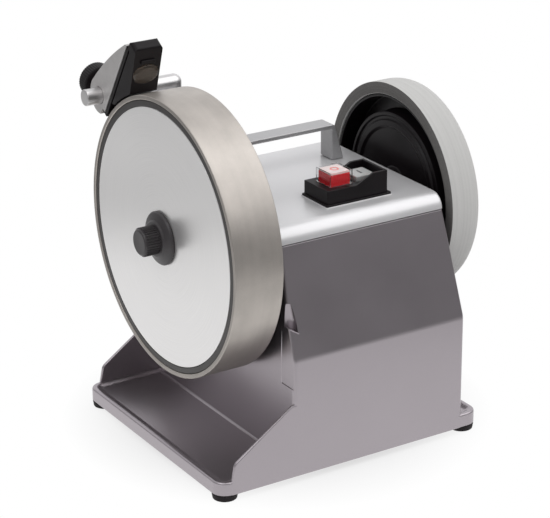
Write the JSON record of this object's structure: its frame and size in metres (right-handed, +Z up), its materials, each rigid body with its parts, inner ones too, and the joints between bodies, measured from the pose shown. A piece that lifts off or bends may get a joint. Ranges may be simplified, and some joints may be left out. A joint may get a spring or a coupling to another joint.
{
  "type": "electric knife sharpener",
  "caption": "Bench-top electric knife sharpener with a diamond grinding wheel, a honing wheel, a support bar with a knife guide, and a motor in a grey casing.",
  "frame": {"origin": "middle of the footprint of the whole machine, on the surface it stands on", "axes": "+X along the shaft from the grinding wheel to the honing wheel, +Y towards the back, +Z up; the switch is at the front, -Y"},
  "size_m": [0.2352, 0.2188, 0.2933],
  "materials": {
    "casing_plastic": "metallic grey, fine sheen",
    "zinc_casting": "light silver satin",
    "guide_zinc": "matt grey die-cast",
    "steel": "bright",
    "black_plastic": "satin black",
    "dark_plastic": "matt dark grey",
    "red_plastic": "gloss red",
    "pale_plastic": "pale grey",
    "clear_plastic": "clear",
    "wheel_core_metal": "dark coated",
    "diamond_coating": "matt nickel with fine diamond grit",
    "satin_disc": "satin silver",
    "honing_composite": "pale grey, fine-grained, elastic",
    "black_rubber": "matt",
    "bronze": "sintered",
    "motor_steel": "plain"
  },
  "bodies": {
    "machine": {"casing": "casing_plastic", "bottom_cover": "steel", "foot_front_left": "black_rubber", "foot_front_right": "black_rubber", "foot_rear_left": "black_rubber", "foot_rear_right": "black_rubber", "foot_screw_front_left": "steel", "foot_screw_front_right": "steel", "foot_screw_rear_left": "steel", "foot_screw_rear_right": "steel", "cord_gland": "black_plastic", "top_casting": "zinc_casting", "top_screw_front_left": "steel", "top_screw_front_right": "steel", "top_screw_rear_left": "steel", "top_screw_rear_right": "steel", "carry_handle": "zinc_casting", "handle_screw_left": "steel", "handle_screw_right": "steel", "switch_housing": "black_plastic", "switch_body": "dark_plastic", "stop_button_collar": "clear_plastic", "bush_wheel_side": "bronze", "bush_honing_side": "bronze", "motor_hanger": "steel", "motor_front_bracket": "steel", "motor_rear_bracket": "steel", "motor_stator": "motor_steel"},
    "spindle": {"main_shaft": "steel", "wheel_flange": "steel", "wheel_core": "wheel_core_metal", "diamond_rim": "diamond_coating", "wheel_face_disc": "satin_disc", "spacer_sleeve": "steel", "honing_dish": "black_plastic", "honing_ring": "honing_composite", "honing_washer": "steel", "honing_nut": "steel"},
    "lock_nut": {"quick_lock_nut": "dark_plastic"},
    "rotor": {"rotor_core": "motor_steel", "rotor_shaft": "steel", "motor_fan": "black_plastic", "drive_roller": "black_rubber"},
    "stop": {"stop_button": "red_plastic"},
    "start": {"start_button": "pale_plastic"},
    "bar": {"support_bar": "steel"},
    "bar_lock": {"bar_lock_knob": "black_plastic"},
    "guide": {"guide_body": "guide_zinc", "guide_back_plate": "black_plastic"},
    "jaw": {"guide_front_jaw": "black_plastic", "guide_lens": "clear_plastic"},
    "guide_lock": {"guide_lock_knob": "black_plastic"}
  },
  "joints": [
    {"name": "spindle_spin", "type": "hinge", "parent": "machine", "child": "spindle", "pos_m": [0, -0.00944, 0.16], "axis": [1, 0, 0], "continuous": true},
    {"name": "lock_nut_turn", "type": "hinge", "parent": "spindle", "child": "lock_nut", "pos_m": [-0.11, -0.00944, 0.16], "axis": [-1, 0, 0], "range_deg": [0, 180]},
    {"name": "rotor_spin", "type": "hinge", "parent": "machine", "child": "rotor", "pos_m": [0, -0.00944, 0.0985], "axis": [1, 0, 0], "continuous": true},
    {"name": "stop_press", "type": "slide", "parent": "machine", "child": "stop", "axis": [0, 0, -1], "range_m": [0, 0.003], "stiffness_N_per_m": 400},
    {"name": "start_press", "type": "slide", "parent": "machine", "child": "start", "axis": [0, 0, -1], "range_m": [0, 0.003], "stiffness_N_per_m": 400},
    {"name": "bar_height", "type": "slide", "parent": "machine", "child": "bar", "axis": [0, 0, 1], "range_m": [0, 0.02]},
    {"name": "bar_lock_turn", "type": "hinge", "parent": "machine", "child": "bar_lock", "pos_m": [-0.04093, 0.09, 0.1888], "axis": [0, 1, 0], "range_deg": [0, 180]},
    {"name": "guide_tilt", "type": "hinge", "parent": "bar", "child": "guide", "pos_m": [-0.0899, 0.07412, 0.24146], "axis": [-1, 0, 0], "range_deg": [0, 60]},
    {"name": "jaw_flex", "type": "hinge", "parent": "guide", "child": "jaw", "pos_m": [-0.0899, 0.02865, 0.28867], "axis": [-1, 0, 0], "range_deg": [0, 1], "stiffness_Nm_per_rad": 3},
    {"name": "guide_lock_turn", "type": "hinge", "parent": "guide", "child": "guide_lock", "pos_m": [-0.08993, 0.07412, 0.24146], "axis": [0, 0.9919, 0.1271], "range_deg": [0, 180]}
  ],
  "couplings": [
    {"joint": "rotor_spin", "follows": "spindle_spin", "ratio": 12.885}
  ]
}
